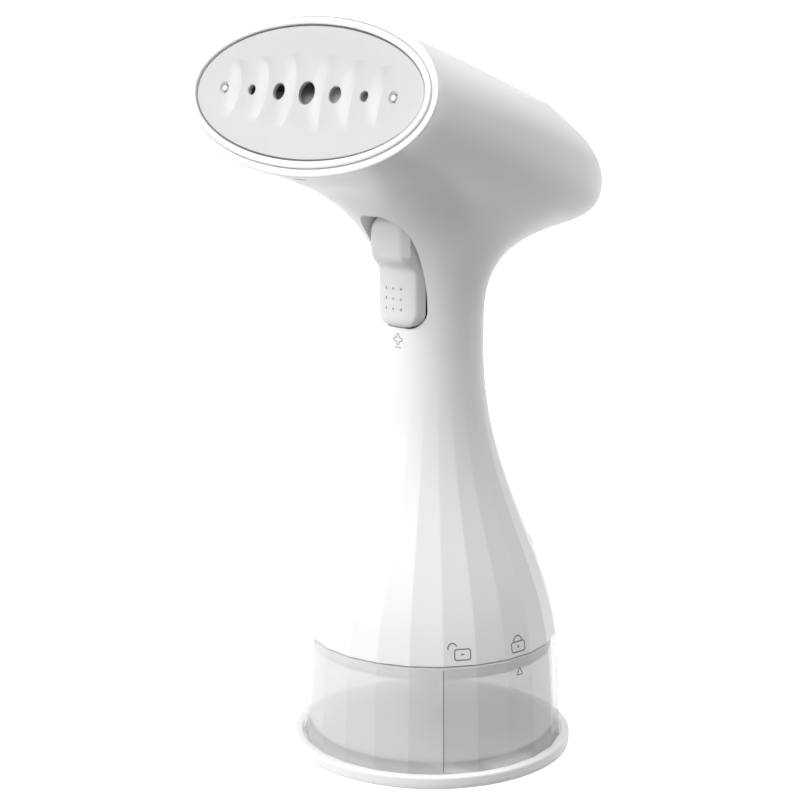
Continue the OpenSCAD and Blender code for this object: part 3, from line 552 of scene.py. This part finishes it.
def add_pins():
    verts, faces = [], []
    circle = ellipse(1, 1, 40)
    for side in (-1, 1):
        rings = []
        for radius, w in [(1.0, 5.1), (1.0, 0.9), (0.93, 0.72), (0.7, 0.6), (0.3, 0.56)]:
            rings.append(on_face(side * 3 * HOLE_PITCH + circle[:, 0] * radius,
                                 circle[:, 1] * radius, np.full(40, w)))
        v, f = stack(rings)
        faces += [tuple(i + sum(len(x) for x in verts) for i in face) for face in f]
        verts.append(v)
    pins = make_object("panel_pin_tips", np.concatenate(verts), faces)
    return finish_piece(pins, "housing", "white_shell", "panel_pins")


# ---- trigger ----------------------------------------------------------------------

# heights are above the slimmest part of the grip
TRIGGER_LOW, TRIGGER_HIGH = 7.6, 47.2
TRIGGER_CORNERS = (6.0, 7.4)
DIMPLE_PITCH = 3.65
TRIGGER_R = 20.65
# the front line of the trigger: [height above the slimmest grip, distance in front of the axis]
TRIGGER_LINE = [
    (7.6, 18.6), (8.3, 19.6), (9.6, 20.35), (12, 20.6), (20, 20.6), (26.6, 20.6), (28.3, 20.85),
    (29.7, 21.8), (31.0, 23.3), (32.4, 24.2), (34.5, 24.5), (43, 24.6), (45.6, 24.35),
    (46.7, 23.7), (47.2, 22.6),
]
# its half widths: [height, half width of the front, half width at the base]
TRIGGER_WIDTH = [(7.6, 9.2, 10.4), (27, 9.2, 10.4), (33, 6.9, 10.4), (47.2, 6.9, 10.4)]


def smooth_line(points, at):
    """Smooth curve through given points, without overshoot."""
    points = np.asarray(points, float)
    x, y = points[:, 0], points[:, 1]
    step = np.diff(y) / np.diff(x)
    slope = np.concatenate([[step[0]], (step[:-1] + step[1:]) / 2, [step[-1]]])
    slope[1:-1][step[:-1] * step[1:] <= 0] = 0
    i = np.clip(np.searchsorted(x, at) - 1, 0, len(x) - 2)
    h = x[i + 1] - x[i]
    t = (at - x[i]) / h
    return ((2 * t**3 - 3 * t**2 + 1) * y[i] + (t**3 - 2 * t**2 + t) * h * slope[i]
            + (3 * t**2 - 2 * t**3) * y[i + 1] + (t**3 - t**2) * h * slope[i + 1])


def add_trigger():
    heights = np.concatenate([
        np.linspace(TRIGGER_LOW, 12, 16), np.linspace(12.6, 26, 20), np.linspace(26.5, 34.5, 24),
        np.linspace(35, 44, 14), np.linspace(44.3, TRIGGER_HIGH, 16),
    ])
    front = smooth_line(TRIGGER_LINE, heights)
    table = np.asarray(TRIGGER_WIDTH)
    half_front = np.interp(heights, table[:, 0], table[:, 1])
    half_base = np.interp(heights, table[:, 0], table[:, 2])
    drawn_in = np.zeros_like(heights)
    low, high = TRIGGER_CORNERS
    for corner, past in [(low, TRIGGER_LOW + low - heights), (high, heights - TRIGGER_HIGH + high)]:
        drawn_in += corner - np.sqrt(corner**2 - np.clip(past, 0, corner) ** 2)
    rings = []
    for h, y, hf, hb, less in zip(heights, front, half_front, half_base, drawn_in):
        hf, hb = hf * (hb - less) / hb, hb - less
        flat = np.clip((h - 27.5) / 6, 0, 1)
        edge = 1.0
        s = np.linspace(0, 1, 17)[:-1] * (hf - edge)
        curved = np.sqrt(np.maximum(TRIGGER_R**2 - s**2, 1)) - TRIGGER_R
        bow = (1 - flat) * curved - flat * 0.006 * s**2
        points = [(x, -(y + b)) for x, b in zip(s, bow)]
        x1, y1 = s[-1], points[-1][1]
        slope = (points[-1][1] - points[-2][1]) / (s[-1] - s[-2])
        start, knee = np.array([hf - edge, y1 + slope * (hf - edge - x1)]), np.array([hf, 0.0])
        knee[1] = start[1] + slope * edge
        base = np.array([hb, -14.9])
        shoulder = (1 - flat) * knee + flat * np.array([hf + 0.78 * (hb - hf), knee[1] + 2.4])
        aim = (1 - flat) * base + flat * shoulder
        down = (aim - knee) / max(np.linalg.norm(aim - knee), 0.01)
        stop = knee + down * edge
        for k in np.linspace(0, 1, 7):
            points.append(tuple((1 - k) ** 2 * start + 2 * k * (1 - k) * knee + k * k * stop))
        middle = (1 - flat) * (stop + base) / 2 + flat * shoulder
        for a, b in [(stop, middle), (middle, base)]:
            for k in np.linspace(0, 1, 4)[1:]:
                points.append(tuple(a + k * (b - a)))
        ring = points[1:] + [(-x, v) for x, v in points[::-1]]
        rings.append(np.array([(x, v, GRIP_Z + h) for x, v in ring]))
    trigger = make_object("trigger_button", *stack(rings), smooth=50)
    circle = ellipse(1, 1, 20)
    for i in (-1, 0, 1):
        for k in range(3):
            x, z = DIMPLE_PITCH * i, GRIP_Z + 14 + DIMPLE_PITCH * k
            skin = -math.sqrt(TRIGGER_R**2 - x * x)
            cut = [on_grip(x + circle[:, 0] * r, z + circle[:, 1] * r, np.full(20, skin + d))
                   for r, d in [(0.95, -0.5), (0.66, -0.02), (0.54, 0.12), (0.46, 0.7)]]
            combine(trigger, make_object("cut", *stack(cut)))
    trigger.data.polygons.foreach_set("use_smooth", [True] * len(trigger.data.polygons))
    trigger.data.set_sharp_from_angle(angle=math.radians(42))
    return finish_piece(trigger, "trigger", "trigger_grey", "trigger")


# ---- tank and foot -------------------------------------------------------------------

TANK_SEAT = FOOT_H - 0.4
TANK_FLOOR = TANK_SEAT + 2.6
LID_Z = SEAM_Z - 5


def add_tank():
    angles = column_angles()
    a = np.radians(angles)
    share = facet_share(angles)
    rings = []
    outer = [(TANK_SEAT, 0.25), (TANK_SEAT + 0.25, 0)]
    outer += [(z, 0) for z in np.linspace(TANK_SEAT + 1, SEAM_Z - 0.5, 22)]
    outer += [(SEAM_Z - 0.2, 0.06), (SEAM_Z, 0.3)]
    for z, inset in outer:
        r = tank_at(z) * share - inset
        rings.append(np.stack([r * np.sin(a), -r * np.cos(a), np.full(len(a), z)], -1))

    def bore(z):
        return tank_at(z) * math.cos(math.radians(FACET_TURN / 2)) - TANK_WALL

    inner = [(SEAM_Z, bore(LID_Z) + 0.1), (LID_Z, bore(LID_Z) + 0.1), (LID_Z, bore(LID_Z))]
    inner += [(z, bore(z)) for z in np.linspace(LID_Z - 2, TANK_FLOOR + 3.2, 14)]
    turn = np.radians(np.arange(15, 91, 15))
    inner += [
        (TANK_FLOOR + 3 * (1 - math.sin(t)), bore(TANK_FLOOR + 3) - 3 * (1 - math.cos(t)))
        for t in turn
    ]
    inner += [(TANK_FLOOR, r) for r in (30, 15, 3)]
    for z, r in inner:
        rings.append(np.stack([r * np.sin(a), -r * np.cos(a), np.full(len(a), z)], -1))
    tank = make_object("tank_body", *stack(rings), smooth=0)
    tank.data.polygons.foreach_set("use_smooth", [True] * len(tank.data.polygons))
    tank.data.set_sharp_from_angle(angle=math.radians(5))
    return finish_piece(tank, "tank", "tank_smoke", "tank_shell")


def add_base():
    lip, low, foot = 0.9, 0.8, 0.3
    profile = [(6, low), (FOOT_R - 3.1, low), (FOOT_R - 3.0, foot), (FOOT_R - 1.6, foot)]
    for t in np.radians(np.arange(15, 91, 15)):
        profile.append((FOOT_R - 0.9 + 0.8 * math.sin(t), foot + 0.8 * (1 - math.cos(t))))
    groove_z = 1.6
    profile += [(FOOT_R - 0.05, groove_z - 0.16), (FOOT_R - 0.28, groove_z - 0.1),
                (FOOT_R - 0.28, groove_z + 0.1), (FOOT_R, groove_z + 0.16)]
    for t in np.radians(np.arange(0, 91, 10)):
        profile.append((FOOT_R - lip + lip * math.cos(t), FOOT_H - lip + lip * math.sin(t)))
    profile += [(TANK_R + 0.45, FOOT_H), (TANK_R + 0.28, FOOT_H - 0.12), (TANK_R + 0.25, TANK_SEAT),
                (6, TANK_SEAT)]
    return finish_piece(lathe("base_plate", profile, 256), "tank", "white_shell", "base_disc")


# ---- marks -----------------------------------------------------------------------------

def ribbon(points, closed, place, width, proud):
    """A flat raised line along points (u, v) on a surface given by place(u, v, height)."""
    p = np.asarray(points, float)
    n = len(p)
    ahead = np.roll(p, -1, 0) - p if closed else np.gradient(p, axis=0)
    if closed:
        ahead = ahead + (p - np.roll(p, 1, 0))
    ahead /= np.linalg.norm(ahead, axis=1, keepdims=True)
    side = np.stack([-ahead[:, 1], ahead[:, 0]], -1) * width / 2
    rings = []
    for k in range(n):
        left, right = p[k] + side[k], p[k] - side[k]
        section = [(*left, -0.05), (*left, proud), (*right, proud), (*right, -0.05)]
        rings.append(np.array([place(*q) for q in section]))
    return stack(rings, closed)


def arc(cx, cy, rx, ry, start, stop, count=14):
    t = np.radians(np.linspace(start, stop, count))
    return np.stack([cx + rx * np.cos(t), cy + ry * np.sin(t)], -1)


def rounded_box(half_u, half_v, corner):
    corners = [(1, 1, 0), (-1, 1, 90), (-1, -1, 180), (1, -1, 270)]
    return np.concatenate([
        arc(s * (half_u - corner), t * (half_v - corner), corner, corner, a, a + 90, 6)
        for s, t, a in corners
    ])


def body_place(angle, z):
    def place(u, v, proud):
        at = math.radians(angle)
        r = float(body_at(angle, z + v)) + proud
        return (r * math.sin(at) + u * math.cos(at), -r * math.cos(at) + u * math.sin(at), z + v)
    return place


def grip_place(z):
    def place(u, v, proud):
        at = u / GRIP_R
        r = GRIP_R + proud
        return (r * math.sin(at), -r * math.cos(at), z + v)
    return place


def tank_place(angle, z):
    flat = math.cos(math.radians(FACET_TURN / 2))

    def place(u, v, proud):
        at = math.radians(angle)
        r = float(tank_at(z + v)) * flat + proud
        return (r * math.sin(at) + u * math.cos(at), -r * math.cos(at) + u * math.sin(at), z + v)
    return place


def tank_edge_place(angle):
    def place(u, z, proud):
        at = math.radians(angle) + u / TANK_R
        r = float(tank_at(z) * facet_share(math.degrees(at))) + proud
        return (r * math.sin(at), -r * math.cos(at), z)
    return place


def add_marks(name, body, slot_name, strokes):
    verts, faces, count = [], [], 0
    for points, closed, place, width in strokes:
        v, f = ribbon(points, closed, place, width, 0.035)
        faces += [tuple(i + count for i in face) for face in f]
        verts.append(v)
        count += len(v)
    obj = make_object(name, np.concatenate(verts), faces, smooth=30)
    return finish_piece(obj, body, slot_name)


LINE = 0.42
OPEN_ANGLE = FACET_PHASE + 3.5 * FACET_TURN
SHUT_ANGLE = FACET_PHASE + 5.5 * FACET_TURN


def add_all_marks():
    opened, shut = body_place(OPEN_ANGLE, 47.7), body_place(SHUT_ANGLE, 47.2)
    strokes = [
        (rounded_box(2.85, 1.9, 0.8) + (1.0, 0), True, opened, LINE),
        (arc(-2.6, 2.3, 1.6, 1.8, 20, 190), False, opened, LINE),
        ([(0.4, -0.1), (1.0, 0.15), (1.6, -0.1)], False, opened, LINE),
        (rounded_box(3.2, 1.8, 0.8) + (0.3, 0), True, shut, LINE),
        (arc(0.3, 1.8, 2.0, 2.1, 0, 180), False, shut, LINE),
        (arc(0.3, 0, 0.35, 0.35, 0, 330, 10), True, shut, 0.3),
    ]
    add_marks("lock_marks", "housing", "dark_plastic", strokes)
    puff = grip_place(154.4)
    t = np.linspace(0, 2 * math.pi, 65)[:-1]
    r = 1.5 + 0.55 * np.cos(4 * t)
    clover = np.stack([r * np.cos(t), r * np.sin(t)], -1)
    wave = [(x, -2.9 - 0.12 * math.sin(2.4 * x)) for x in np.linspace(-1.5, 1.5, 9)]
    add_marks("steam_mark", "housing", "dark_plastic", [
        (clover, True, puff, 0.28), (wave, False, puff, 0.26),
    ])
    pointer = tank_place(SHUT_ANGLE, 38.4)
    add_marks("tank_pointer", "tank", "dark_plastic", [
        ([(-1.45, -1.2), (-0.5, -1.2), (0.5, -1.2), (1.45, -1.2), (1.0, -0.38), (0.45, 0.6),
          (0, 1.4), (-0.45, 0.6), (-1.0, -0.38)], True, pointer, 0.36),
        ([(0, z) for z in np.linspace(TANK_SEAT + 0.9, SEAM_Z - 0.7, 24)], False,
         tank_edge_place(FACET_PHASE + 3 * FACET_TURN), 0.32),
    ])


# ---- finishes ----------------------------------------------------------------------------

def new_material(name):
    mat = bpy.data.materials.new(name)
    mat.use_nodes = True
    return mat, mat.node_tree.nodes, mat.node_tree.links, mat.node_tree.nodes["Principled BSDF"]


def noise(nodes, links, scale, detail=3.0, rough=0.5, stretch=(1, 1, 1)):
    place = nodes.new("ShaderNodeTexCoord")
    fit = nodes.new("ShaderNodeMapping")
    fit.inputs["Scale"].default_value = stretch
    tex = nodes.new("ShaderNodeTexNoise")
    tex.inputs["Scale"].default_value = scale
    tex.inputs["Detail"].default_value = detail
    tex.inputs["Roughness"].default_value = rough
    links.new(place.outputs["Object"], fit.inputs["Vector"])
    links.new(fit.outputs["Vector"], tex.inputs["Vector"])
    return tex


def ramp(nodes, links, source, low, high, at=(0.3, 0.7)):
    node = nodes.new("ShaderNodeValToRGB")
    for stop, place, tone in zip(node.color_ramp.elements, at, (low, high)):
        stop.position = place
        stop.color = (*tone, 1) if isinstance(tone, tuple) else (tone, tone, tone, 1)
    links.new(source, node.inputs["Fac"])
    return node.outputs["Color"]


def finish(name, tone, rough, grain, bump, vary=0.03, metallic=0.0, coat=0.0, alpha=1.0,
           stretch=(1, 1, 1), specular=0.5):
    """A moulded, coated or machined surface: tone and gloss drift slowly, fine grain as bump."""
    mat, nodes, links, bsdf = new_material(name)
    drift = noise(nodes, links, 35, 3)
    dark = tuple(c * (1 - vary) for c in tone)
    links.new(ramp(nodes, links, drift.outputs["Fac"], dark, tone), bsdf.inputs["Base Color"])
    gloss = noise(nodes, links, 160, 4, 0.6, stretch)
    links.new(ramp(nodes, links, gloss.outputs["Fac"], rough * 0.85, rough * 1.15),
              bsdf.inputs["Roughness"])
    fine = noise(nodes, links, grain, 2, 0.5, stretch)
    raised = nodes.new("ShaderNodeBump")
    raised.inputs["Strength"].default_value = bump
    raised.inputs["Distance"].default_value = 0.00004
    links.new(fine.outputs["Fac"], raised.inputs["Height"])
    links.new(raised.outputs["Normal"], bsdf.inputs["Normal"])
    bsdf.inputs["Metallic"].default_value = metallic
    bsdf.inputs["Coat Weight"].default_value = coat
    bsdf.inputs["Coat Roughness"].default_value = 0.12
    bsdf.inputs["Alpha"].default_value = alpha
    bsdf.inputs["Specular IOR Level"].default_value = specular
    return mat


def finishes():
    made = {
        "white_shell": finish("satin white shell", (0.90, 0.90, 0.90), 0.36, 1500, 0.12, 0.012,
                              coat=0.1),
        "trigger_grey": finish("trigger satin", (0.80, 0.80, 0.81), 0.42, 2200, 0.25, 0.02),
        "panel_grey": finish("coated panel", (0.64, 0.64, 0.64), 0.36, 1800, 0.15, 0.02),
        "inner_white": finish("natural white", (0.83, 0.83, 0.80), 0.5, 900, 0.3),
        "rubber_grey": finish("soft rubber", (0.16, 0.16, 0.165), 0.75, 1600, 0.5, 0.08),
        "silicone": finish("silicone", (0.80, 0.80, 0.78), 0.45, 700, 0.15, alpha=0.75),
        "gasket_red": finish("red silicone", (0.55, 0.12, 0.07), 0.6, 900, 0.3, 0.06),
        "steel": finish("zinc plate", (0.60, 0.61, 0.63), 0.3, 1200, 0.4, 0.08, metallic=1.0),
        "alloy": finish("cast alloy", (0.62, 0.62, 0.63), 0.48, 800, 0.8, 0.1, metallic=1.0),
        "brass": finish("turned brass", (0.72, 0.52, 0.24), 0.28, 1500, 0.3, 0.06, metallic=1.0,
                        stretch=(1, 1, 8)),
        "dark_plastic": finish("dark moulded", (0.05, 0.05, 0.053), 0.5, 1200, 0.4, 0.15),
        "board_green": finish("lacquered board", (0.02, 0.16, 0.06), 0.25, 600, 0.3, 0.2, coat=0.6),
        "wire_white": finish("wire sleeve", (0.78, 0.77, 0.72), 0.55, 1500, 0.2, 0.04),
        "mica": finish("mica sheet", (0.58, 0.50, 0.34), 0.35, 500, 0.6, 0.25, stretch=(1, 6, 1)),
        "tank_smoke": finish("smoke polymer", (0.97, 0.973, 0.977), 0.10, 700, 0.03, 0.02,
                             alpha=0.44),
    }
    mark = finish("printed mark", (0.19, 0.19, 0.20), 0.5, 1500, 0.2, 0.05)
    return made, mark


MATERIALS, MARK = {}, None


def finish_piece(obj, body, slot_name, *nodes):
    obj.data.materials.clear()
    is_mark = not nodes and slot_name == "dark_plastic"
    obj.data.materials.append(MARK if is_mark else MATERIALS[slot_name])
    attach(obj, body)
    if nodes:
        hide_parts(*nodes)
    return obj


# ---- light and floor -------------------------------------------------------------------------

def area_light(name, place, aim, size, power):
    data = bpy.data.lights.new(name, "AREA")
    data.shape = "RECTANGLE"
    data.size, data.size_y = size
    data.energy = power
    lamp = bpy.data.objects.new(name, data)
    lamp.location = place
    lamp.rotation_euler = (Vector(aim) - Vector(place)).to_track_quat("-Z", "Y").to_euler()
    bpy.context.scene.collection.objects.link(lamp)


# direction from the steamer to the backdrop, which is the brightest part of the room
BACKDROP = (-0.685, 0.728, 0.0)


def add_stage():
    # just under the tank's lowest reach, so that the pulled-down tank stays in sight
    verts = [(x, y, -0.061) for x, y in [(-30, -30), (30, -30), (30, 30), (-30, 30)]]
    floor = make_object("floor", np.array(verts) / MM, [(0, 1, 2, 3)], smooth=0)
    mat, nodes, links, bsdf = new_material("pale floor")
    tone = noise(nodes, links, 2, 2)
    links.new(ramp(nodes, links, tone.outputs["Fac"], 0.90, 0.92), bsdf.inputs["Base Color"])
    bsdf.inputs["Roughness"].default_value = 0.9
    bsdf.inputs["Specular IOR Level"].default_value = 0.1
    bsdf.inputs["Emission Color"].default_value = (1, 1, 1, 1)
    bsdf.inputs["Emission Strength"].default_value = 0.62
    floor.data.materials.append(mat)
    floor.visible_diffuse = False
    world = bpy.data.worlds.new("studio")
    bpy.context.scene.world = world
    world.use_nodes = True
    nodes, links = world.node_tree.nodes, world.node_tree.links
    direction = nodes.new("ShaderNodeTexCoord")
    towards = nodes.new("ShaderNodeVectorMath")
    towards.operation = "DOT_PRODUCT"
    towards.inputs[1].default_value = BACKDROP
    links.new(direction.outputs["Generated"], towards.inputs[0])
    glow = ramp(nodes, links, towards.outputs["Value"], 0.40, 1.0, at=(0.35, 0.85))
    rise = nodes.new("ShaderNodeSeparateXYZ")
    links.new(direction.outputs["Generated"], rise.inputs[0])
    dim = ramp(nodes, links, rise.outputs["Z"], 0.72, 1.0, at=(0.0, 0.15))
    both = nodes.new("ShaderNodeMixRGB")
    both.blend_type = "MULTIPLY"
    both.inputs[0].default_value = 1
    links.new(glow, both.inputs[1])
    links.new(dim, both.inputs[2])
    links.new(both.outputs[0], nodes["Background"].inputs["Color"])
    middle = (0, 0, 0.14)
    area_light("key", (-0.66, -2.05, 1.45), middle, (1.7, 1.7), 60)
    area_light("top", (0.8, 0.5, 1.9), middle, (1.4, 1.4), 16)
    bpy.context.scene.view_settings.view_transform = "Standard"


# ---- all together ------------------------------------------------------------------------------

add_camera()
MATERIALS, MARK = finishes()
for row in frame["record"]["subparts"]:
    node = frame["nodes"][row["node"]]
    node.data.materials.clear()
    node.data.materials.append(MATERIALS[row["material_slot"]])
add_housing()
add_bezel()
add_panel_gap_shade()
add_panel()
add_pins()
add_trigger()
add_tank()
add_base()
add_all_marks()
add_stage()
